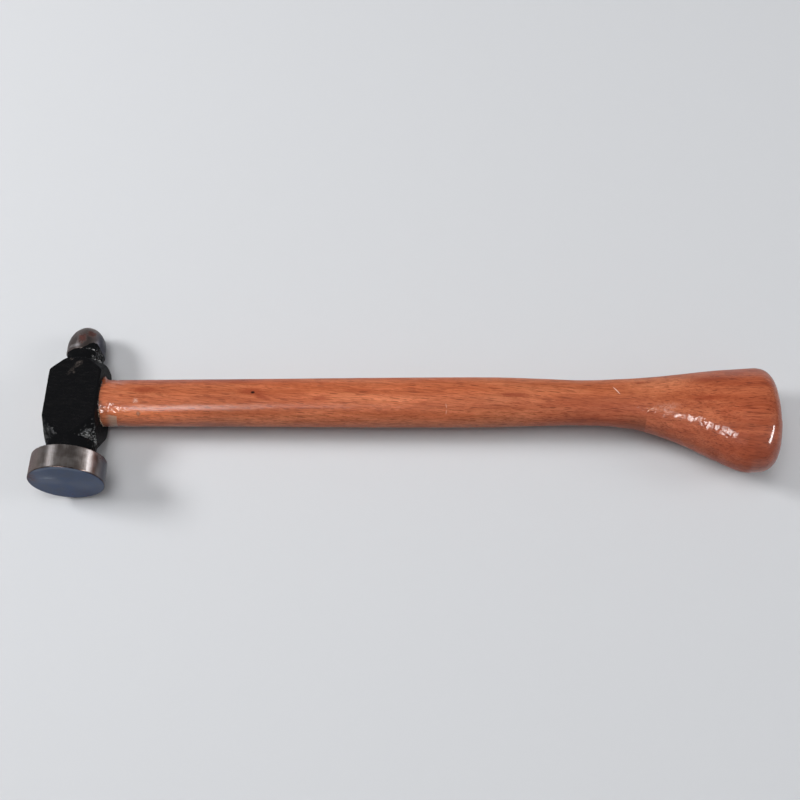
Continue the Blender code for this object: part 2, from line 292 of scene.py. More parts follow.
def envelope_radius(y):
    """The turned form that rounds the block down to the necks."""
    reach = hypot(BODY_HALF_WIDTH, BODY_HALF_THICKNESS) + 0.001
    outline = outline_with_fillets(
        (
            (FACE_NECK_RADIUS - 0.0002, NECK_ROOT_Y - 0.0030, 0),
            (NECK_ROOT_RADIUS, NECK_ROOT_Y, 0.004),
            (reach, NECK_ROOT_Y + 0.0085, 0),
            (reach, BALL_SHOULDER_Y - 0.0020, 0),
            (BODY_HALF_WIDTH + 0.0006, BALL_SHOULDER_Y, 0.0012),
            (BALL_NECK_RADIUS - 0.0003, BALL_NECK_Y, 0),
        ),
        12,
    )
    return np.interp(y, [p.y for p in outline], [p.x for p in outline], left=0.0, right=0.0)


def steel_outline():
    """The turned core from the middle of the face to near the tip of the ball."""
    corners = (
        (0.0006, FACE_Y, 0),
        (FACE_RADIUS, FACE_Y, FACE_EDGE),
        (DISC_BACK_RADIUS, DISC_BACK_Y, 0.0003),
        (FACE_NECK_RADIUS, DISC_BACK_Y + 0.0006, 0.0012),
        (NECK_ROOT_RADIUS - 0.0002, NECK_ROOT_Y, 0),
        (BALL_NECK_RADIUS, NECK_ROOT_Y + 0.004, 0),
        (BALL_NECK_RADIUS, BALL_RIM_Y - 0.0006, 0.0008),
        (BALL_RADIUS, BALL_RIM_Y, 0.0003),
        (BALL_RADIUS, BALL_CENTRE_Y, 0),
    )
    dome_steps = 40
    dome = [
        Vector((BALL_RADIUS * cos(angle), BALL_CENTRE_Y + BALL_REACH * sin(angle)))
        for angle in (pi / 2 * i / dome_steps for i in range(1, dome_steps))
    ]
    return fine_outline(outline_with_fillets(corners, 6), 0.00025) + dome


def head_surface():
    """The bare steel head as a grid of points: rows along the head, columns round it."""
    outline = np.array([(p.x, p.y) for p in steel_outline()])
    radius, y = outline[:, :1], outline[:, 1:]
    angle = 2 * pi * np.arange(HEAD_COLUMNS)[None, :] / HEAD_COLUMNS
    across, up = np.sin(angle), np.cos(angle)
    body = soft_min(block_reach(across, up, y), envelope_radius(y), 0.0006)
    inside_body = (y > DISC_BACK_Y + 0.0015) & (y < BALL_NECK_Y)
    radius = np.where(inside_body, soft_max(radius, body, 0.0004), radius)
    return np.stack([radius * across, y + 0.0 * across, radius * up], axis=-1)


def round_axis(grid):
    """Each point's distance from the head's axis, and its degrees from the upper cheek."""
    across, up = grid[..., 0], grid[..., 2]
    return np.hypot(across, up), np.degrees(np.arctan2(across, up))


def enamel_end_y(grid):
    """Where the enamel stops on the ball: a ragged line with a tongue beside each cheek."""
    _, angle = round_axis(grid)

    def tongue(middle, width, height):
        off = (angle - middle + 180) % 360 - 180
        return height * np.exp(-((off / width) ** 2))

    ragged = 0.00016 * lumps(grid, 0.0013, 3) + 0.00012 * lumps(grid, 0.0005, 4)
    return BALL_RIM_Y - 0.0003 + tongue(40, 26, 0.0032) + tongue(-150, 30, 0.0014) + ragged


def enamel_thickness(grid):
    """Brushed-on enamel: a film that stops on the ball and at the disc's rear edge."""
    y = grid[..., 1]
    radius, _ = round_axis(grid)
    coat = 0.00010 + 0.000035 * lumps(grid, 0.0016, 1) + 0.00002 * lumps(grid, 0.0007, 2)
    on_collar = smooth_step(y, BALL_NECK_Y - 0.0005, BALL_RIM_Y)
    coat += on_collar * (0.00010 + 0.00012 * lumps(grid, 0.0011, 5))
    to_ball_edge = enamel_end_y(grid) - y
    to_rim = DISC_BACK_RADIUS - 0.00005 + 0.00010 * lumps(grid, 0.0012, 6) - radius
    to_rim = np.where(y < DISC_BACK_Y + 0.0006, to_rim, 1.0)
    held_on_ball = smooth_step(to_ball_edge, -0.0001, 0.0003)
    held = np.minimum(held_on_ball, smooth_step(to_rim, -0.0001, 0.0002))
    return coat * held - 0.00008 * (1 - held)


def filled_groove(grid):
    """How much further out the enamel lies where it has run into the groove behind the ball."""
    radius, angle = round_axis(grid)
    run = 0.45 + 0.55 * np.exp(-(((angle - 40) / 42) ** 2))
    y = grid[..., 1]
    in_groove = smooth_step(y, BALL_NECK_Y - 0.0006, BALL_NECK_Y + 0.0012)
    in_groove *= 1 - smooth_step(y, BALL_RIM_Y - 0.0002, BALL_RIM_Y + 0.0004)
    return run * in_groove * np.maximum(BALL_RADIUS - 0.0001 - radius, 0.0)


def eye_ring(x, clearance, columns):
    """The eye's oval at x, smaller all round by the clearance."""
    if x > EYE_WAIST_X:
        share, target = (x - EYE_WAIST_X) / (BODY_HALF_WIDTH - EYE_WAIST_X), EYE_MOUTH
    else:
        share, target = (EYE_WAIST_X - x) / (BODY_HALF_WIDTH + EYE_WAIST_X), EYE_OUTER
    half_y, half_z = (w + (t - w) * share - clearance for w, t in zip(EYE_WAIST, target))
    angles = [2 * pi * (i + 0.5) / columns for i in range(columns)]
    return [Vector((x, half_y * cos(a), half_z * sin(a))) for a in angles]


def eye_cutter():
    past_side = BODY_HALF_WIDTH + 0.002
    xs = [-past_side, -BODY_HALF_WIDTH, EYE_WAIST_X, BODY_HALF_WIDTH, past_side]
    return add_object("eye cutter", loft([eye_ring(x, 0.0, CUTTER_COLUMNS) for x in xs]))


def build_head():
    surface = head_surface()
    eye = eye_cutter()
    steel = add_object("head_steel", loft(surface.tolist()), sharp=38)
    cut(steel, eye)

    first = int(np.argmax(surface[:, 0, 1] > DISC_BACK_Y - 0.0002))
    last = int(np.argmax(surface[:, 0, 1] > BALL_RIM_Y + 0.0052))
    skin = surface[first:last]
    normals = grid_normals(skin)
    spokes = skin * np.array((1.0, 0.0, 1.0))
    spokes /= np.linalg.norm(spokes, axis=-1, keepdims=True)
    outer = skin + normals * enamel_thickness(skin)[..., None]
    outer += spokes * filled_groove(skin)[..., None]
    inner = skin - normals * ENAMEL_DEPTH
    shell = np.concatenate([outer, inner[::-1]])
    enamel = add_object("head_enamel", loft(shell.tolist(), loop=True))
    cut(enamel, eye)
    bpy.data.objects.remove(eye)
    for piece in (steel, enamel):
        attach(piece, "root")
        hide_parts("hammer_head")
    return steel, enamel


# ---- handle

def between(stations, x, column):
    """Reads one column of the stations at x, on a smooth curve through them."""
    last = len(stations) - 2
    i = max(k for k in range(last + 1) if k == 0 or stations[k][0] <= x)

    def slope(k):
        low, high = stations[max(k - 1, 0)], stations[min(k + 1, last + 1)]
        return (high[column] - low[column]) / (high[0] - low[0])

    a, b = stations[i], stations[i + 1]
    length = b[0] - a[0]
    t = min(max((x - a[0]) / length, 0.0), 1.0)
    return (
        (2 * t**3 - 3 * t**2 + 1) * a[column]
        + (t**3 - 2 * t**2 + t) * length * slope(i)
        + (3 * t**2 - 2 * t**3) * b[column]
        + (t**3 - t**2) * length * slope(i + 1)
    )


def handle_section(x):
    """Centre y, half height and half thickness of the handle at x, domed over at its end."""
    top, bottom, half_z = (between(HANDLE_STATIONS, x, column) for column in (1, 2, 3))
    dome = max(x - DOME_START_X, 0.0) / (HANDLE_END_X - DOME_START_X)
    shrink = max(1.0 - dome**DOME_POWER, 0.0) ** (1.0 / DOME_POWER)
    return (top + bottom) / 2, (top - bottom) / 2 * shrink, half_z * shrink


def handle_xs():
    """Where the handle's rings stand, closer together on the grip and at the film's edge."""
    shaft = np.arange(SHOULDER_X + 0.0004, 0.172, 0.0008)
    grip = np.arange(0.172, DOME_START_X, 0.0004)
    edge = FILM_START_X + np.arange(-8, 9) * 0.0001
    dome_length = HANDLE_END_X - DOME_START_X
    dome = DOME_START_X + dome_length * np.sin(pi / 2 * np.arange(1, 46) / 46.0)
    grip = grip[np.abs(grip - FILM_START_X) > 0.001]
    return np.sort(np.concatenate([shaft, grip, edge, dome]))


def handle_surface():
    """The shaft, grip and domed end as a grid of points: rows along it, columns round it."""
    angle = 2 * pi * (np.arange(HANDLE_COLUMNS) + 0.5) / HANDLE_COLUMNS
    rows = []
    for x in handle_xs():
        centre_y, half_y, half_z = handle_section(float(x))
        ring = (np.full_like(angle, x), centre_y + half_y * np.cos(angle), half_z * np.sin(angle))
        rows.append(np.stack(ring, axis=-1))
    return np.array(rows)


def front_angle(grid):
    """Degrees round the handle, from 0 at +Z towards the flat face's side (-Y)."""
    centre = grid.mean(axis=1, keepdims=True)
    return np.degrees(np.arctan2(centre[..., 1] - grid[..., 1], grid[..., 2]))


def film_share(grid):
    """1 under the film on the lower front of the grip, 0 elsewhere."""
    x, angle = grid[..., 0], front_angle(grid)
    wander = 0.00035 * lumps(grid, 0.004, 11)
    past_edge = x - FILM_START_X - wander
    below_top = np.radians(angle - FILM_TOP_ANGLE) * GRIP_RADIUS + wander
    above_low = np.radians(FILM_LOW_ANGLE - angle) * GRIP_RADIUS
    inside = soft_min(soft_min(past_edge, below_top, 0.0025), above_low, 0.0025)
    return smooth_step(inside, -0.0001, 0.00025)


def varnish_relief(grid):
    """The brushed varnish: nearly even, but thick and wrinkled beside the head and on the film."""
    x = grid[..., 0]
    streaked = grid * np.array((0.45, 1.0, 1.0))
    relief = 0.000012 * lumps(streaked, 0.0025, 12)
    by_head = 1 - smooth_step(x, 0.012, 0.045)
    relief += by_head * 0.00004 * lumps(grid, 0.0014, 13, 2)
    film = film_share(grid)
    slanted = grid @ np.array(Matrix.Rotation(radians(WRINKLE_SLANT), 3, "Z"))
    wrinkle = lumps(slanted * np.array((0.5, 1.0, 1.0)), 0.0021, 14, 2)
    wrinkle *= 1 - smooth_step(x, 0.2290, 0.2360)
    relief += film * (FILM_THICKNESS + 0.00013 * wrinkle)
    return relief


def splinter(grid):
    """The shaving pushed up at the shoulder on the ball's side, when the head was driven on."""
    x, y, z = grid[..., 0], grid[..., 1], grid[..., 2]
    round_side = np.exp(-(((z - 0.0042) / 0.0016) ** 2)) * (y > 0)
    near_head = 1 - smooth_step(x, SHOULDER_X + 0.0003, SHOULDER_X + 0.0016)
    return 0.0016 * round_side * near_head


def tenon_rings():
    """The tenon through the eye, from its proud end grain to the shoulder."""
    rings = []
    end = eye_ring(TENON_START_X, FIT_GAP, HANDLE_COLUMNS)
    for share in (0.15, 0.35, 0.55, 0.75, 0.9, 0.96):
        rings.append([Vector((TENON_START_X, p.y * share, p.z * share)) for p in end])
    for x in np.linspace(TENON_START_X + 0.0002, BODY_HALF_WIDTH - 0.0004, 40):
        rings.append(eye_ring(float(x), FIT_GAP, HANDLE_COLUMNS))
    return rings


def wedge(depth, thickness, width, axis, grow=0.0):
    """A tapered plate driven in along +X, larger all round when it is grown."""
    slope = (thickness[1] - thickness[0]) / depth
    outer = TENON_START_X - 10 * grow
    bm = bmesh.new()
    bmesh.ops.create_cube(bm, size=1.0)
    for vert in bm.verts:
        x = outer if vert.co.x < 0 else TENON_START_X + depth + grow
        half = (thickness[0] + slope * (x - TENON_START_X)) / 2 + grow
        wide = width / 2 + grow
        sides = (wide if vert.co.y > 0 else -wide, half if vert.co.z > 0 else -half)
        vert.co = (x, *(sides if axis == "Z" else sides[::-1]))
    return bm


def roughen(bm, amount, size, seed):
    """Moves a fine mesh's points a little, so that cut faces aren't dead flat."""
    for vert in bm.verts:
        vert.co += noise.noise_vector(vert.co / size + Vector((seed, seed, seed))) * amount


def build_handle():
    """The tenon, shaft and grip in one piece, and the two wedges in its kerfs."""
    surface = handle_surface()
    normals = grid_normals(surface)
    surface = surface + normals * varnish_relief(surface)[..., None]
    surface[..., 1] += splinter(surface)
    shoulder = []
    for share in (0.90, 0.955, 0.985):
        ring = surface[0].copy()
        ring[:, 0] = SHOULDER_X
        ring[:, 1:] *= share
        shoulder.append(ring.tolist())
    rings = [[tuple(p) for p in ring] for ring in tenon_rings()]
    handle = add_object("handle_beech", loft(rings + shoulder + surface.tolist()))
    kerf = add_object("kerf cutter", wedge(*WOOD_WEDGE, FIT_GAP))
    slot = add_object("slot cutter", wedge(*STEEL_WEDGE, FIT_GAP))
    cut(handle, kerf, slot)
    handle.data.shade_smooth()
    handle.data.set_sharp_from_angle(angle=radians(50))
    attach(handle, "root")
    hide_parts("handle")
    wood_wedge = build_wood_wedge(slot)
    steel_wedge = build_steel_wedge()
    for helper in (kerf, slot):
        bpy.data.objects.remove(helper)
    return handle, wood_wedge, steel_wedge


def build_wood_wedge(slot):
    """The wood wedge, trimmed to the eye, with a slot for the steel wedge."""
    xs = (TENON_START_X - 0.0004, EYE_WAIST_X, BODY_HALF_WIDTH)
    trim = add_object("wedge trim", loft([eye_ring(x, FIT_GAP, CUTTER_COLUMNS) for x in xs]))
    bm = wedge(*WOOD_WEDGE)
    bmesh.ops.subdivide_edges(bm, edges=bm.edges, cuts=15, use_grid_fill=True)
    roughen(bm, 0.00003, 0.0011, 2.0)
    wood_wedge = add_object("wedge_of_wood", bm, sharp=40)
    keep = wood_wedge.modifiers.new("trim", "BOOLEAN")
    keep.operation = "INTERSECT"
    keep.object = trim
    cut(wood_wedge, slot)
    bpy.data.objects.remove(trim)
    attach(wood_wedge, "root")
    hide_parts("wood_wedge")
    return wood_wedge


def build_steel_wedge():
    """The steel wedge, with its edges rounded a little."""
    bm = wedge(*STEEL_WEDGE)
    bmesh.ops.bevel(bm, geom=bm.edges[:], offset=0.00018, segments=2, affect="EDGES", profile=0.6)
    bmesh.ops.subdivide_edges(bm, edges=bm.edges, cuts=5, use_grid_fill=True)
    roughen(bm, 0.00002, 0.0008, 5.0)
    steel_wedge = add_object("wedge_of_steel", bm, sharp=50)
    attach(steel_wedge, "root")
    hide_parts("steel_wedge")
    return steel_wedge


def build_bead():
    """The uneven ring of squeezed-out glue in the corner between the shaft and the head."""
    centre_y, half_y, half_z = handle_section(SHOULDER_X)
    sunk = 0.0001
    rings = []
    for i in range(BEAD_COLUMNS):
        angle = 2 * pi * i / BEAD_COLUMNS
        out = Vector((0.0, cos(angle), sin(angle)))
        foot_y = centre_y + (half_y - sunk) * cos(angle)
        foot = Vector((SHOULDER_X, foot_y, (half_z - sunk) * sin(angle)))
        swell = 0.5 + 0.5 * noise.noise(out * 2.6)
        swell += 0.35 * noise.noise(out * 9.0 + Vector((4.0, 0.0, 0.0)))
        swell = min(max(swell, 0.10), 1.0)
        tall, wide = 0.00018 + 0.00028 * swell, 0.00020 + 0.00040 * swell
        ring = []
        for side in range(BEAD_SIDES):
            turn = 2 * pi * side / BEAD_SIDES
            rise, run = max(sin(turn), -0.25), max(cos(turn), -0.1)
            ring.append(foot + out * rise * tall + Vector((run * wide + 0.00008, 0.0, 0.0)))
        rings.append(ring)
    bead = add_object("glue_line", loft(rings, loop=True))
    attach(bead, "root")
    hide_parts("glue_bead")
    return bead


# ---- materials

NO_SHIFT = (0.0, 0.0, 0.0)

# Directions in the hammer's axes.
TO_BALL = (0.0, 1.0, 0.0)
TO_FACE = (0.0, -1.0, 0.0)
TO_GRIP = (1.0, 0.0, 0.0)
TO_EYE_END = (-1.0, 0.0, 0.0)
UPWARD = (0.0, 0.0, 1.0)


class Shader:
    """A material's node tree, with short calls for the nodes that it uses; lengths are in mm."""

    def __init__(self, name):
        self.material = bpy.data.materials.new(name)
        self.material.use_nodes = True
        self.tree = self.material.node_tree
        self.surface = self.tree.nodes["Principled BSDF"]
        at_rest = self.add("ShaderNodeTexCoord", {}).outputs["Object"]
        back = HAMMER.inverted()
        move = {"Location": back.translation / MM, "Rotation": back.to_euler()}
        scale = (1 / MM,) * 3
        own = self.add("ShaderNodeMapping", {}, Vector=at_rest, Scale=scale, **move)
        self.point = own.outputs["Vector"]
        parts = self.add("ShaderNodeSeparateXYZ", {}, Vector=self.point)
        self.x, self.y, self.z = (parts.outputs[axis] for axis in "XYZ")

    def add(self, kind, settings, **inputs):
        node = self.tree.nodes.new(kind)
        for key, value in settings.items():
            setattr(node, key, value)
        self.fill(node, inputs)
        return node

    def fill(self, node, inputs):
        for key, value in inputs.items():
            self.feed(node.inputs[key.replace("_", " ")], value)

    def feed(self, socket, value):
        if isinstance(value, bpy.types.NodeSocket):
            self.tree.links.new(value, socket)
        elif socket.type == "RGBA":
            socket.default_value = (*value, 1.0)
        else:
            socket.default_value = value

    def set(self, **inputs):
        self.fill(self.surface, inputs)

    def calculate(self, kind, operation, values):
        node = self.add(kind, {"operation": operation})
        for socket, value in zip(node.inputs, values):
            self.feed(socket, value)
        return node.outputs

    def math(self, operation, *values):
        return self.calculate("ShaderNodeMath", operation, values)[0]

    def vector(self, operation, *values):
        outputs = self.calculate("ShaderNodeVectorMath", operation, values)
        return outputs["Value" if operation in ("LENGTH", "DOT_PRODUCT") else "Vector"]

    def scaled(self, value, factor, base):
        """The value times the factor, on top of the base."""
        return self.math("MULTIPLY_ADD", value, factor, base)

    def both(self, *shares):
        return reduce(lambda a, b: self.math("MULTIPLY", a, b), shares)

    def either(self, *shares):
        return reduce(lambda a, b: self.math("MAXIMUM", a, b), shares)

    def outward(self, axis):
        """How far the surface faces along one of the hammer's axes, from -1 to 1."""
        normal = self.add("ShaderNodeNewGeometry", {}).outputs["Normal"]
        return self.vector("DOT_PRODUCT", normal, HAMMER.to_3x3() @ Vector(axis))

    def layout(self, size, shift=NO_SHIFT, turn=0.0):
        """Coordinates for a pattern of the given size, moved and then turned about Z."""
        scale = size if isinstance(size, tuple) else (size,) * 3
        move = {"Location": shift, "Rotation": (0.0, 0.0, radians(turn)), "Scale": scale}
        settings = {"vector_type": "TEXTURE"}
        return self.add("ShaderNodeMapping", settings, Vector=self.point, **move).outputs[0]

    def noise(self, size, detail=2.0, roughness=0.5, distortion=0.0, shift=NO_SHIFT, turn=0.0):
        """Noise round 0.5 whose features have the given size: one number, or one for each axis."""
        looks = {"Detail": detail, "Roughness": roughness, "Distortion": distortion}
        place = self.layout(size, shift, turn)
        return self.add("ShaderNodeTexNoise", {}, Vector=place, Scale=1.0, **looks).outputs["Fac"]

    def cells(self, size, turn=0.0):
        place = self.layout(size, turn=turn)
        return self.add("ShaderNodeTexVoronoi", {}, Vector=place, Scale=1.0)

    def smooth(self, value, low, high, start=0.0, end=1.0):
        """Goes smoothly from start to end as the value goes from low to high."""
        settings = {"interpolation_type": "SMOOTHSTEP"}
        ends = {"From_Min": low, "From_Max": high, "To_Min": start, "To_Max": end}
        return self.add("ShaderNodeMapRange", settings, Value=value, **ends).outputs["Result"]

    def mix(self, share, first, second, blend="MIX"):
        settings = {"data_type": "RGBA", "blend_type": blend, "clamp_factor": True}
        node = self.add("ShaderNodeMix", settings)
        factor, colour_a, colour_b = node.inputs[0], node.inputs[6], node.inputs[7]
        self.feed(factor, share)
        self.feed(colour_a, first)
        self.feed(colour_b, second)
        return node.outputs[2]

    def tint(self, share, colour, factors):
        """Multiplies a colour by the factors, by the given share."""
        return self.mix(share, colour, self.mix(1.0, colour, factors, "MULTIPLY"))

    def ramp(self, value, *stops):
        node = self.add("ShaderNodeValToRGB", {}, Fac=value)
        elements = node.color_ramp.elements
        while len(elements) < len(stops):
            elements.new(0.5)
        for element, (place, colour) in zip(elements, stops):
            element.position = place
            element.color = (*colour, 1.0)
        return node.outputs["Color"]

    def spot(self, centre, radii, edge=0.5, ragged=0.0, grain=0.7, turn=0.0):
        """A soft-edged patch: 1 inside an ellipsoid, 0 outside, with a ragged edge if asked."""
        reach = self.vector("LENGTH", self.layout(radii, centre, turn))
        if ragged:
            wobble = self.math("SUBTRACT", self.noise(grain, 3.0), 0.5)
            reach = self.scaled(wobble, ragged, reach)
        return self.smooth(reach, 1.0 + edge * 0.2, 1.0 - edge)

    def stroke(self, start, end, width, depth):
        """A thin soft line from one place on the surface to another."""
        start, end = Vector(start), Vector(end)
        run = end - start
        turn = Vector((1.0, 0.0)).angle_signed(run.xy) * -180 / pi
        return self.spot((start + end) / 2, (run.xy.length / 2, width, depth), 0.5, turn=turn)

    def bump(self, height, distance, strength=1.0, under=None):
        """Adds relief of the given height on top of the relief under it."""
        depth = distance * MM
        node = self.add("ShaderNodeBump", {}, Height=height, Strength=strength, Distance=depth)
        if under is not None:
            self.feed(node.inputs["Normal"], under)
        return node.outputs["Normal"]


def beech_grain(s):
    """Beech's colour with its broad bands, fine fibres, long dark lines and short ray flecks."""
    bands = s.noise((46.0, 4.0, 4.0), 3.0, 0.55, 0.6, turn=-3.0)
    fibres = s.noise((7.0, 0.6, 0.6), 4.0, 0.66, 0.3, turn=-5.0)
    hairs = s.noise((3.4, 0.27, 0.27), 2.0, 0.6, shift=(3.0, 9.0, 2.0), turn=-6.0)
    lines = s.noise((14.0, 0.5, 0.5), 2.0, 0.55, 0.4, shift=(4.0, 2.0, 7.0), turn=-3.0)
    wood = s.ramp(
        s.smooth(bands, 0.3, 0.7),
        (0.0, (0.43, 0.108, 0.043)),
        (0.5, (0.51, 0.142, 0.06)),
        (1.0, (0.59, 0.185, 0.082)),
    )
    for pattern, low, high, most, colour in (
        (fibres, 0.49, 0.68, 0.6, (0.3, 0.066, 0.026)),
        (fibres, 0.46, 0.27, 0.45, (0.7, 0.245, 0.116)),
        (hairs, 0.53, 0.66, 0.62, (0.22, 0.046, 0.019)),
        (lines, 0.6, 0.68, 0.55, (0.21, 0.042, 0.018)),
    ):
        wood = s.mix(s.smooth(pattern, low, high, 0.0, most), wood, colour)
    cells = s.cells((5.4, 0.6, 0.6), turn=-5.0)
    chance = s.add("ShaderNodeSeparateXYZ", {}, Vector=cells.outputs["Color"]).outputs["X"]
    near_middle = s.smooth(cells.outputs["Distance"], 0.36, 0.2)
    flecks = s.both(near_middle, s.smooth(chance, 0.35, 0.9))
    wood = s.mix(s.both(flecks, 0.62), wood, (0.14, 0.03, 0.014))
    return wood, s.math("ADD", s.both(fibres, 0.8), s.both(flecks, 0.6))


def beech_end_grain(s):
    """The tenon's end, with its growth rings and pores cut across."""
    rings = s.math("SINE", s.scaled(s.noise(7.0, 1.0), 6.0, s.both(s.z, 2.6)))
    colour = s.mix(s.smooth(rings, -0.4, 1.0), (0.36, 0.15, 0.065), (0.5, 0.25, 0.12))
    pores = s.cells((10.0, 0.18, 0.18)).outputs["Distance"]
    return s.mix(s.smooth(pores, 0.18, 0.34, 0.8, 0.0), colour, (0.15, 0.06, 0.028))


def film_cover(s):
    """1 where the clear film covers the grip's lower front, and the angle round the grip."""
    # A straight line is near enough to the grip's drooping middle.
    middle = s.scaled(s.x, -0.19, 36.94)
    below = s.math("SUBTRACT", middle, s.y)
    angle = s.both(s.math("ARCTAN2", below, s.z), 180 / pi)
    past_top = s.smooth(angle, FILM_TOP_ANGLE - 2, FILM_TOP_ANGLE + 3)
    sides = s.both(past_top, s.smooth(angle, FILM_LOW_ANGLE + 2, FILM_LOW_ANGLE - 3))
    start = FILM_START_X / MM
    return s.both(sides, s.smooth(s.x, start - 0.1, start + 0.3)), angle


# The pale colour of the scuffs, and of the painted glint at the film's corner.
SCUFF_AND_GLINT_COLOUR = (0.74, 0.52, 0.42)

# Reddish streaks in the wood, in mm: place, size, edge and raggedness.
REDDISH = (
    ((25.3, 1.1, 8.2), (6.0, 1.7, 3.0), 0.8, 0.8),
    ((63.0, 0.3, 8.4), (6.0, 1.8, 3.0), 0.8, 0.6),
    ((66.5, -1.6, 8.2), (4.5, 1.2, 3.0), 0.8, 0.6, 0.7, -20.0),
    ((87.0, -2.3, 8.2), (4.5, 0.9, 3.0), 0.8, 0.6),
    ((154.0, -1.4, 8.2), (6.5, 1.1, 3.0), 0.7, 0.7),
    ((217.7, 2.9, 10.9), (8.0, 1.4, 3.0), 0.9, 0.8),
    ((217.7, -5.0, 12.5), (7.0, 1.2, 3.0), 0.9, 0.8),
    ((197.0, 3.2, 8.2), (3.0, 0.7, 3.0), 0.9, 0.8),
    ((40.0, -2.0, -8.0), (8.0, 1.6, 3.0), 0.8, 0.6),
)


def beech_marks(s, wood, film, angle):
    """The knot, reddish streaks, pale patch and scuffs that the handle shows; wood darker beside
    the head; painted shade beside the film's edge; and a painted glint and haze on the film.
    """
    reddish = s.either(*(s.spot(*streak) for streak in REDDISH))
    wood = s.mix(s.both(reddish, 0.7), wood, (0.26, 0.045, 0.018))
    knot = s.spot((63.6, -0.1, 8.4), (0.85, 0.5, 1.5), 0.5, 0.3)
    wood = s.mix(knot, wood, (0.018, 0.008, 0.006))

    patch_end = s.scaled(s.z, -0.16, s.x)
    patch = s.both(s.smooth(patch_end, 15.1, 14.9), s.smooth(s.x, 11.0, 13.6, 0.1, 1.0))
    patch_top = s.scaled(s.noise(1.6), 2.4, s.z)
    patch = s.both(patch, s.smooth(patch_top, 5.7, 5.2), s.smooth(s.z, -4.0, -1.0))
    patch = s.both(patch, s.smooth(s.y, 0.0, -1.0))
    wood = s.mix(s.both(patch, 0.66), wood, (0.62, 0.46, 0.34))

    # Painted glint: a pale arc at the film's top corner.
    painted_glint_crescent = s.either(
        s.stroke((198.4, -7.4, 6.9), (199.3, -6.7, 7.5), 0.16, 1.2),
        s.stroke((199.2, -6.8, 7.5), (201.0, -6.4, 8.1), 0.16, 1.2),
    )
    scraped = s.either(
        s.stroke((21.6, -3.9, 7.2), (23.4, -1.9, 8.0), 0.16, 1.0),
        s.stroke((21.9, -2.0, 7.9), (23.6, -3.4, 7.4), 0.16, 1.0),
        s.both(s.spot((22.6, -2.9, 7.6), (1.2, 1.2, 1.2), 0.9, 1.2, 0.4), 0.5),
    )
    dent = s.spot((23.4, -6.5, 4.9), (0.9, 1.1, 1.3), 0.5, 0.8, 0.5)
    dent_floor = s.spot((23.4, -6.5, 4.9), (0.5, 0.6, 0.8), 0.5, 0.8, 0.5)
    scratch = s.stroke((187.2, 1.9, 8.4), (189.7, -1.4, 8.4), 0.2, 2.0)
    curve = s.either(
        s.stroke((130.2, -4.0, 7.6), (130.7, -5.8, 6.4), 0.22, 1.2),
        s.stroke((130.7, -5.6, 6.5), (130.3, -7.3, 4.6), 0.22, 1.2),
    )
    for mark, most, colour in (
        (painted_glint_crescent, 0.6, SCUFF_AND_GLINT_COLOUR),
        (scraped, 0.55, SCUFF_AND_GLINT_COLOUR),
        (dent, 0.65, (0.22, 0.085, 0.05)),
        (dent_floor, 0.5, (0.5, 0.26, 0.18)),
        (scratch, 0.8, (0.86, 0.66, 0.56)),
        (curve, 0.35, (0.74, 0.44, 0.3)),
    ):
        wood = s.mix(s.both(mark, most), wood, colour)

    # The wood is darker beside the head, and painted shade darkens the lower front beside the
    # film's edge.
    by_head = s.both(s.smooth(s.x, 11.6, 9.6), s.smooth(s.noise(1.1, 3.0), 0.45, 0.62))
    painted_shade_by_film = s.both(s.smooth(s.x, 186.0, 198.0), s.smooth(angle, 48.0, 66.0))
    painted_shade_by_film = s.both(painted_shade_by_film, s.smooth(angle, 125.0, 105.0), s.smooth(s.x, 198.5, 198.3), 0.75)
    wood = s.mix(s.either(s.both(by_head, 0.5), s.both(painted_shade_by_film, 0.5)), wood, (0.12, 0.045, 0.024))
    # Painted highlight: a pale granular haze on the film where its shine runs.
    painted_haze_highlight = s.spot((204.5, -6.6, 9.2), (6.5, 1.5, 3.0), 0.9, 0.8)
    painted_haze_highlight = s.both(painted_haze_highlight, s.smooth(s.noise(0.6, 3.0, 0.7), 0.4, 0.6, 0.2, 1.0))
    wood = s.mix(s.both(painted_haze_highlight, 0.3), wood, (0.72, 0.46, 0.36))
    return s.mix(s.both(film, 0.04), wood, (0.62, 0.3, 0.16))


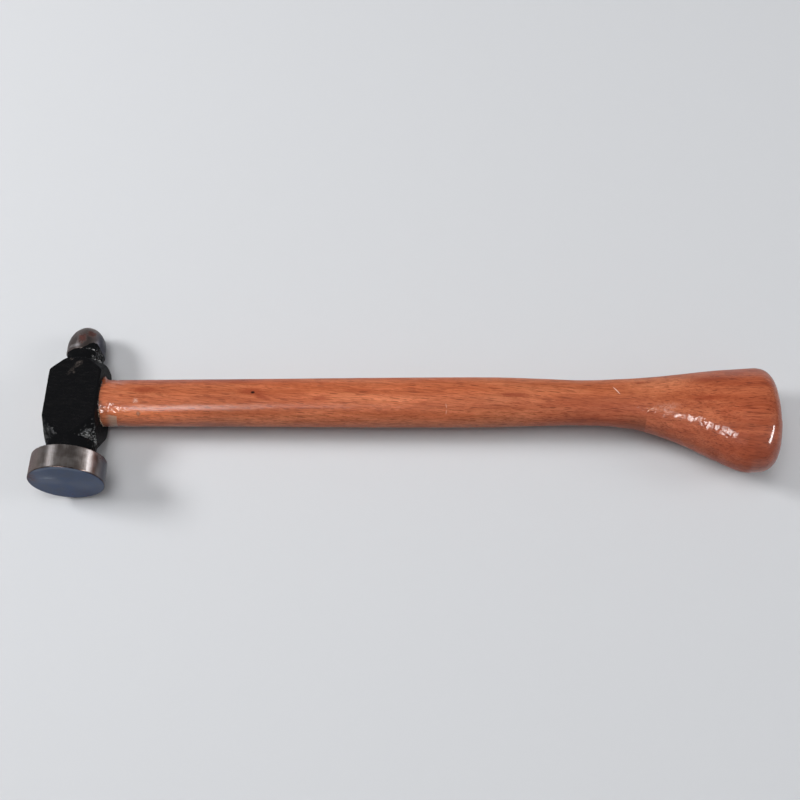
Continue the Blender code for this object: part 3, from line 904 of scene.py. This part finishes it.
def beech_material():
    """Orange-brown beech under varnish that is lumpy beside the head and on the grip's film."""
    s = Shader("varnished beech")
    wood, grain = beech_grain(s)
    film, angle = film_cover(s)
    grip = s.smooth(s.x, 196.0, 234.0)
    wood = s.tint(grip, wood, (0.84, 0.7, 0.66))
    facing_ball, facing_face = s.outward(TO_BALL), s.outward(TO_FACE)
    # Painted shade: the side that faces the ball is darkened, most of all near the head.
    painted_top_shade = s.mix(s.smooth(s.x, 58.0, 70.0), (0.78, 0.58, 0.44), (0.95, 0.93, 0.92))
    wood = s.tint(s.smooth(facing_ball, 0.15, 0.85), wood, painted_top_shade)
    # Painted light: the side that faces the flat face is lightened near the head.
    painted_lit_low_side = s.both(s.smooth(facing_face, 0.35, 0.85), s.smooth(s.x, 56.0, 28.0))
    wood = s.tint(painted_lit_low_side, wood, (1.34, 1.3, 1.24))
    # Painted sheen: a paler, bluer patch on the upper side of the neck and grip.
    painted_sheen_on_neck = s.spot((205.0, 1.5, 8.5), (20.0, 5.5, 6.0), 0.8)
    wood = s.tint(painted_sheen_on_neck, wood, (1.13, 1.28, 1.38))
    # Painted highlight: a paler streak along the lower front of the middle of the shaft.
    painted_highlight_front = s.spot((107.0, -4.0, 7.2), (18.0, 3.0, 4.0), 0.9)
    wood = s.tint(painted_highlight_front, wood, (1.14, 1.24, 1.28))
    # Painted shade: the lower side of the neck is darkened, with a blue-purple cast.
    low_side = s.both(s.smooth(facing_face, 0.2, 0.75), s.smooth(s.x, 138.0, 190.0))
    wood = s.tint(low_side, wood, (0.88, 0.76, 0.8))
    wood = beech_marks(s, wood, film, angle)
    end_grain = s.smooth(s.x, -9.45, -9.6)
    wood = s.mix(end_grain, wood, beech_end_grain(s))
    cloudy = s.smooth(s.noise((16.0, 3.3, 3.3), shift=(9.0, 2.0, 4.0)), 0.35, 0.75, 0.93, 1.06)
    # Painted shade: the wood is darker where it faces sideways or down.
    painted_shade_on_sides = s.smooth(s.outward(UPWARD), 0.0, 0.5, 0.85, 1.0)
    from_middle = s.math("ABSOLUTE", s.math("SUBTRACT", s.x, 101.0))
    paler_middle = s.smooth(from_middle, 30.0, 48.0, 1.12, 1.0)
    tone_and_painted_shade = s.both(cloudy, painted_shade_on_sides, paler_middle)
    tone_and_painted_shade = s.add("ShaderNodeCombineXYZ", {}, X=tone_and_painted_shade, Y=tone_and_painted_shade, Z=tone_and_painted_shade).outputs[0]
    s.set(Base_Color=s.mix(1.0, wood, tone_and_painted_shade, "MULTIPLY"))

    s.set(Normal=s.bump(grain, -0.03))
    wear = s.noise((8.0, 2.0, 2.0), 3.0, shift=(2.0, 7.0, 1.0))
    rough = s.smooth(wear, 0.35, 0.7, 0.42, 0.55)
    s.set(Roughness=s.scaled(end_grain, 0.3, rough), Specular_IOR_Level=0.12)

    # The varnish has its own surface: fine-grained, with lumps by the head and slanting wrinkles
    # on the film.  The even slopes along Y tilt its shine across the handle.
    by_head = s.smooth(s.x, 23.0, 15.0)
    wrinkled = s.both(film, s.smooth(s.x, 232.0, 227.0))
    fine = s.smooth(s.either(film, grip, by_head), 0.0, 1.0, 1.0, 0.12)
    varnish = s.bump(s.noise((0.6, 0.42, 0.42), 1.0), 0.075, fine)
    varnish = s.bump(s.noise((1.1, 1.8, 1.8), 1.5, turn=-30.0), 0.48, by_head, varnish)
    wrinkles = s.noise((3.2, 1.2, 1.6), 1.0, 0.5, turn=WRINKLE_SLANT)
    varnish = s.bump(wrinkles, 0.19, wrinkled, varnish)
    on_film = s.both(wrinkled, s.smooth(s.x, 212.0, 228.0, 1.0, 0.25))
    on_shaft = s.both(s.smooth(s.x, 45.0, 78.0), s.smooth(s.x, 196.0, 180.0))
    varnish = s.bump(s.y, 0.075, on_film, varnish)
    varnish = s.bump(s.y, -0.06, s.smooth(s.x, 50.0, 20.0), varnish)
    varnish = s.bump(s.y, 0.07, on_shaft, varnish)
    s.set(Coat_Normal=varnish, Coat_Roughness=0.06, Coat_IOR=1.45)
    smears = s.either(
        s.spot((208.8, -9.5, 8.6), (2.5, 1.5, 3.0), 0.7, 1.2, turn=38.0),
        s.spot((213.2, -10.6, 9.7), (2.9, 1.7, 3.0), 0.7, 1.2, turn=30.0),
        s.spot((217.4, -12.6, 9.9), (2.8, 2.2, 3.0), 0.7, 1.2, turn=-35.0),
        s.spot((220.5, -14.8, 9.8), (1.0, 0.9, 3.0), 0.7, 0.6),
        s.spot((224.5, -17.0, 9.6), (3.6, 2.4, 3.0), 0.7, 1.2, turn=-38.0),
    )
    past_smears = s.smooth(s.x, 231.0, 234.0)
    clear = s.smooth(s.either(smears, past_smears), 0.0, 1.0, 0.16, 0.78)
    plain = s.scaled(grip, 0.5, s.smooth(s.x, 28.0, 75.0, 0.42, 0.11))
    plain = s.mix(film, plain, clear)
    coat = s.either(plain, by_head)
    coat = s.both(coat, s.smooth(facing_ball, 0.5, 0.9, 1.0, 0.3))
    s.set(Coat_Weight=s.both(coat, s.smooth(s.x, -9.0, 9.5)))
    return s.material


def steel_rust(s):
    """Rust on the ball, along the disc's rims and over the underside, and the noise it follows."""
    mottle = s.noise(0.77, 4.0, 0.65)
    rim_left = s.spot((-11.6, -27.0, 5.0), (3.6, 6.0, 7.0), 0.7)
    rim_left = s.both(rim_left, s.smooth(mottle, 0.34, 0.52))
    rim_right = s.spot((12.6, -22.6, 3.0), (3.0, 1.7, 5.0), 0.6)
    rim_right = s.both(rim_right, s.smooth(mottle, 0.44, 0.6))
    blotches = s.either(
        s.spot((0.0, 23.2, 6.7), (1.8, 2.6, 2.5), 0.5, 1.6),
        s.spot((2.8, 25.4, 5.4), (1.8, 1.8, 2.0), 0.5, 1.6),
        s.both(s.spot((0.8, 25.6, 6.0), (3.0, 2.2, 2.5), 0.9), s.smooth(mottle, 0.5, 0.66)),
    )
    underneath = s.both(s.smooth(s.z, -3.0, -10.0), s.smooth(mottle, 0.56, 0.7))
    return s.either(rim_left, rim_right, blotches, underneath), mottle


def steel_material():
    """Bare turned steel: a bright disc rim, a dull blue-grey face that is a painted reflection, a
    darker, rusty ball, and painted shade and highlights.
    """
    s = Shader("turned steel")
    radius = s.vector("LENGTH", s.vector("MULTIPLY", s.point, (1.0, 0.0, 1.0)))
    lathe = s.add("ShaderNodeCombineXYZ", {}, X=s.both(s.y, 7.0), Y=s.both(radius, 7.0)).outputs[0]
    drift = s.vector("MULTIPLY", s.point, (0.15, 0.0, 0.15))
    grooves = s.vector("ADD", lathe, drift)
    turning = s.add("ShaderNodeTexNoise", {}, Vector=grooves, Scale=1.0, Detail=3.0, Roughness=0.7)
    turning = turning.outputs["Fac"]
    scraped = s.noise((0.45, 14.0, 0.45), 3.0, 0.6)
    cloud = s.noise(2.9, 3.0, 0.6)
    colour = s.mix(s.smooth(cloud, 0.3, 0.7), (0.27, 0.225, 0.205), (0.38, 0.335, 0.315))
    colour = s.mix(s.smooth(turning, 0.35, 0.75, 0.0, 0.3), colour, (0.17, 0.14, 0.125))
    colour = s.mix(s.smooth(scraped, 0.5, 0.66, 0.0, 0.35), colour, (0.15, 0.115, 0.1))
    ball = s.smooth(s.y, 15.0, 17.0)
    colour = s.mix(s.both(ball, 0.8), colour, (0.15, 0.12, 0.113))

    # Painted shade and painted reflection: the steel is darkened where it faces down, towards the
    # eye end, and on the ball's right; brown on the left, dark blue-grey on the right.
    facing_left = s.smooth(s.outward(TO_EYE_END), 0.35, 0.75)
    ball_right = s.both(ball, s.smooth(s.outward(TO_GRIP), 0.45, 0.9))
    painted_shade_on_steel = s.either(s.smooth(s.outward(UPWARD), 0.66, 0.1), facing_left, ball_right)
    painted_shade_colour = s.mix(s.smooth(s.x, -4.0, 4.0), (0.082, 0.046, 0.037), (0.03, 0.04, 0.066))
    painted_shade_colour = s.mix(s.both(ball, 0.45), painted_shade_colour, (0.02, 0.02, 0.024))
    colour = s.mix(s.both(painted_shade_on_steel, 0.85), colour, painted_shade_colour)

    # Painted highlight: a pale band on the ball's left, by its rim.
    painted_highlight_band = s.spot((-2.6, 20.3, 6.2), (2.8, 0.8, 3.0), 0.7, 0.6)
    colour = s.mix(s.both(painted_highlight_band, 0.75), colour, (0.44, 0.4, 0.39))

    face = s.smooth(s.y, -30.42, -30.56)
    # Painted reflection: the face is a dull blue-grey, as if it mirrored a blue surface; the
    # scuffs are real wear.
    painted_blue_face = s.mix(s.smooth(cloud, 0.3, 0.7), (0.035, 0.052, 0.093), (0.05, 0.072, 0.132))
    scuffed = s.spot((-5.5, -30.6, 4.0), (3.6, 1.0, 1.5), 1.0)
    scuffed = s.both(scuffed, s.smooth(s.noise((3.0, 1.0, 0.35), 2.0), 0.3, 0.75))
    # Painted highlight: a paler arc by the face's upper rim.
    painted_rim_highlight = s.both(s.smooth(radius, 10.8, 12.3), s.smooth(s.z, 8.6, 10.0), 0.45)
    painted_blue_face = s.mix(s.either(scuffed, painted_rim_highlight), painted_blue_face, (0.15, 0.185, 0.24))
    colour = s.mix(face, colour, painted_blue_face)

    rust, mottle = steel_rust(s)
    edge = s.both(s.smooth(s.y, -30.6, -30.45), s.smooth(s.y, -30.05, -30.3))
    edge = s.both(edge, s.smooth(s.noise(2.0, 3.0), 0.3, 0.55, 0.4, 1.0))
    rust_colour = s.mix(s.smooth(mottle, 0.4, 0.6), (0.045, 0.013, 0.01), (0.1, 0.028, 0.02))
    colour = s.mix(s.both(rust, 0.95), colour, rust_colour)
    s.set(Base_Color=s.mix(s.both(edge, 0.85), colour, (0.04, 0.022, 0.018)))
    s.set(Metallic=s.scaled(rust, -0.7, 1.0))
    rough = s.smooth(cloud, 0.3, 0.7, 0.28, 0.38)
    rough = s.scaled(rust, 0.3, rough)
    rough = s.scaled(face, 0.08, rough)
    s.set(Roughness=s.scaled(ball, 0.06, rough))
    s.set(Anisotropic=0.65, Anisotropic_Rotation=0.25)
    axis = HAMMER.to_3x3() @ Vector(TO_BALL)
    position = s.add("ShaderNodeNewGeometry", {}).outputs["Position"]
    arm = s.vector("SUBTRACT", position, HAMMER.translation)
    s.set(Tangent=s.vector("NORMALIZE", s.vector("CROSS_PRODUCT", axis, arm)))
    relief = s.bump(turning, 0.016)
    s.set(Normal=s.bump(s.noise(1.0, 4.0), 0.018, 1.0, relief))
    return s.material


def enamel_material():
    """Thick black enamel: glossy orange peel on the facets, brushed-out satin on the cheeks."""
    s = Shader("black enamel")
    cheek = s.smooth(s.math("ABSOLUTE", s.outward(UPWARD)), 0.965, 0.995)
    strokes = s.noise((3.2, 0.22, 2.0), 3.0, 0.7, turn=-4.0)
    peel = s.noise(0.62, 0.0)
    beads = s.noise(0.34, 0.0, shift=(5.0, 3.0, 1.0))
    flakes = s.smooth(s.noise((0.9, 0.5, 0.9), 4.0, 0.7, turn=40.0), 0.42, 0.58)
    worn = s.either(
        s.both(s.spot((1.0, 11.2, 9.0), (1.9, 1.2, 1.0), 0.8, 0.8, turn=40.0), flakes),
        s.both(s.spot((-0.9, 8.9, 9.0), (3.2, 0.8, 1.0), 0.9, 0.9, turn=52.0), flakes, 0.55),
        s.both(s.spot((-1.7, 13.1, 9.0), (0.9, 0.6, 1.0), 0.7, 0.9), flakes),
        s.both(s.spot((-0.2, 7.7, 9.0), (0.5, 0.5, 1.0), 0.7, 0.9), 0.6),
    )
    streaky = s.both(cheek, s.smooth(strokes, 0.5, 0.72))
    colour = s.mix(streaky, (0.0015, 0.0015, 0.002), (0.0095, 0.0085, 0.0085))
    s.set(Base_Color=s.mix(s.both(worn, 0.7), colour, (0.1, 0.08, 0.07)))
    lit = s.either(
        s.spot((6.5, -14.9, 5.8), (3.6, 2.9, 3.6), 1.0),
        s.both(s.spot((4.4, 18.2, 4.8), (4.2, 3.4, 4.2), 0.9), 0.9),
        s.both(s.spot((-4.6, -14.5, 8.2), (3.4, 1.2, 1.2), 1.0, turn=-45.0), 0.85),
    )
    grains = s.scaled(lit, 0.58, s.noise(0.5, 0.0, shift=(2.0, 6.0, 3.0)))
    glints = s.smooth(grains, 0.7, 0.84)
    rough = s.smooth(s.noise(2.5, 2.0), 0.3, 0.7, 0.05, 0.09)
    rough = s.math("ADD", rough, s.smooth(glints, 0.0, 1.0, 0.08, 0.0))
    rough = s.scaled(cheek, 0.12, rough)
    s.set(Roughness=s.scaled(worn, 0.35, rough), Specular_IOR_Level=0.38)
    glossy = s.smooth(cheek, 0.0, 1.0, 1.0, 0.1)
    relief = s.bump(beads, 0.065, glossy, s.bump(peel, 0.14, glossy))
    # Between the glints an even slope tilts the shine upwards, away from the floor.
    relief = s.bump(s.z, -0.7, s.smooth(glints, 1.0, 0.0), relief)
    s.set(Normal=s.bump(strokes, 0.015, cheek, relief))
    return s.material


def matt_enamel_material():
    """The thin, dull enamel on the block's two sides, round the eye."""
    s = Shader("matt black enamel")
    drips = s.noise((1.6, 0.9, 1.6), 3.0, 0.6)
    dark, light = (0.002, 0.0021, 0.0028), (0.006, 0.006, 0.0072)
    s.set(Base_Color=s.mix(s.smooth(drips, 0.35, 0.65), dark, light))
    s.set(Roughness=s.smooth(drips, 0.3, 0.7, 0.42, 0.55), Specular_IOR_Level=0.06)
    s.set(Normal=s.bump(drips, 0.1, 1.0, s.bump(s.noise(0.4, 1.0), 0.04)))
    return s.material


def wedge_wood_material():
    """Plain hardwood with its end grain outwards."""
    s = Shader("wedge hardwood")
    pores = s.cells((2.5, 0.17, 0.17)).outputs["Distance"]
    rings = s.noise((20.0, 2.5, 0.42), 3.0, 0.6)
    colour = s.mix(s.smooth(rings, 0.35, 0.65), (0.42, 0.22, 0.1), (0.6, 0.36, 0.18))
    colour = s.mix(s.smooth(pores, 0.15, 0.32, 0.7, 0.0), colour, (0.2, 0.09, 0.04))
    s.set(Base_Color=colour, Roughness=s.smooth(rings, 0.3, 0.7, 0.55, 0.75))
    s.set(Normal=s.bump(pores, 0.05))
    return s.material


def wedge_steel_material():
    """Dull stamped steel, bruised where the punch drove it in."""
    s = Shader("wedge steel")
    dents = s.noise(0.7, 4.0, 0.6)
    colour = s.mix(s.smooth(dents, 0.35, 0.65), (0.2, 0.18, 0.17), (0.48, 0.46, 0.45))
    rusted = s.smooth(s.noise(1.25, 4.0), 0.55, 0.7, 0.0, 0.7)
    s.set(Base_Color=s.mix(rusted, colour, (0.16, 0.07, 0.045)), Metallic=0.9)
    s.set(Roughness=s.smooth(dents, 0.3, 0.7, 0.35, 0.6), Normal=s.bump(dents, 0.12))
    return s.material


def glue_material():
    """Hardened glue: dark with dirt and enamel above, and cleaner and paler towards the face."""
    s = Shader("hardened glue")
    dirt = s.noise(0.9, 4.0, 0.6)
    low_side = s.smooth(s.y, -3.5, -7.0)
    pale = s.smooth(s.math("ADD", dirt, s.both(low_side, 0.2)), 0.58, 0.7)
    s.set(Base_Color=s.mix(pale, (0.022, 0.012, 0.009), (0.5, 0.34, 0.23)))
    s.set(Roughness=s.smooth(dirt, 0.3, 0.7, 0.12, 0.3), Transmission_Weight=0.1, IOR=1.47)
    s.set(Normal=s.bump(s.noise(0.45, 3.0), 0.12))
    return s.material


def dress(obj, material):
    obj.data.materials.clear()
    obj.data.materials.append(material)


def dress_sides(obj, material):
    """Gives a second material to the block's sides and to its facets by the ball and handle."""
    obj.data.materials.append(material)
    back = HAMMER.inverted()
    for face in obj.data.polygons:
        centre = back @ face.center
        out = back.to_3x3() @ face.normal
        facet = out.x > 0.4 and out.y > 0.15 and centre.y < 0.0145
        if abs(out.x) > 0.985 or facet:
            face.material_index = 1


# ---- floor, light and camera

WHITE = (1.0, 1.0, 1.0)
COOL = (0.86, 0.93, 1.0)
ROOM_COLOUR = (0.93, 0.96, 1.0)
ROOM_LIGHT = 0.17
FLOOR_COLOUR = (0.65, 0.66, 0.68)
FLOOR_HALF_SIZE = 3.0
CAMERA_FROM_CENTRE = (0.01775, -0.1455, 0.42348)
CAMERA_TURN = (19.778, 2.253, 0.997)
LENS = 56.25


def build_floor():
    bm = bmesh.new()
    bmesh.ops.create_grid(bm, x_segments=1, y_segments=1, size=FLOOR_HALF_SIZE)
    mesh = bpy.data.meshes.new("floor")
    bm.to_mesh(mesh)
    bm.free()
    floor = place("floor", mesh)
    s = Shader("pale floor")
    s.set(Base_Color=FLOOR_COLOUR, Roughness=0.9, Specular_IOR_Level=0.1)
    mesh.materials.append(s.material)


def add_softbox(name, spot, size, watts, reflected=True, lighting=True, only=None, colour=WHITE):
    """A soft rectangular lamp aimed at the hammer; it may be left out of reflections or of
    lighting, or be for one piece only."""
    lamp = bpy.data.lights.new(name, "AREA")
    lamp.shape = "RECTANGLE"
    lamp.size, lamp.size_y = size
    lamp.energy = watts
    lamp.color = colour
    obj = place(name, lamp)
    obj.location = spot
    obj.rotation_euler = Vector(spot).to_track_quat("Z", "Y").to_euler()
    obj.visible_glossy = reflected
    obj.visible_diffuse = lighting
    if only:
        lit = bpy.data.collections.new(name + " lights")
        lit.objects.link(only)
        obj.light_linking.receiver_collection = lit


def build_light(steel):
    add_softbox("left key", (-0.9, 0.2, 0.7), (0.3, 0.3), 7.8, reflected=False)
    add_softbox("right fill", (0.96, 0.00, 0.62), (0.35, 0.4), 2.4, reflected=False)
    add_softbox("overhead", (-0.1, -0.04, 1.3), (0.8, 0.6), 7.7, reflected=False)
    for_steel = {"lighting": False, "only": steel, "colour": COOL}
    add_softbox("left strip", (-0.7, 0.46, 0.6), (0.24, 0.3), 0.92, **for_steel)
    add_softbox("low right strip", (0.95, 0.42, 0.2), (0.26, 0.24), 2.2, **for_steel)
    add_softbox("low left strip", (-1.04, -0.14, 0.38), (0.12, 0.12), 1.1, lighting=False)
    add_softbox("right front strip", (0.8, -0.34, 0.54), (0.6, 0.15), 8.4, lighting=False)
    add_softbox("front strip", (-0.21, -0.38, 0.46), (0.21, 0.14), 2.2, lighting=False)
    world = bpy.data.worlds.new("soft room")
    world.use_nodes = True
    room = world.node_tree.nodes["Background"].inputs
    room["Color"].default_value = (*ROOM_COLOUR, 1.0)
    room["Strength"].default_value = ROOM_LIGHT
    scene = bpy.context.scene
    scene.world = world
    scene.view_settings.view_transform = "Standard"


def build_camera():
    camera = bpy.data.cameras.new("camera")
    camera.sensor_width = 36.0
    camera.lens = LENS
    obj = place("camera", camera)
    low, high = CAD_BOX
    ground_centre = Vector(((low.x + high.x) / 2, (low.y + high.y) / 2, low.z))
    obj.location = ground_centre + Vector(CAMERA_FROM_CENTRE)
    obj.rotation_euler = [radians(angle) for angle in CAMERA_TURN]
    bpy.context.scene.camera = obj


def main():
    steel, enamel = build_head()
    handle, wood_wedge, steel_wedge = build_handle()
    bead = build_bead()
    dress(steel, steel_material())
    dress(enamel, enamel_material())
    dress_sides(enamel, matt_enamel_material())
    dress(handle, beech_material())
    dress(wood_wedge, wedge_wood_material())
    dress(steel_wedge, wedge_steel_material())
    dress(bead, glue_material())
    build_floor()
    build_light(steel)
    build_camera()


main()
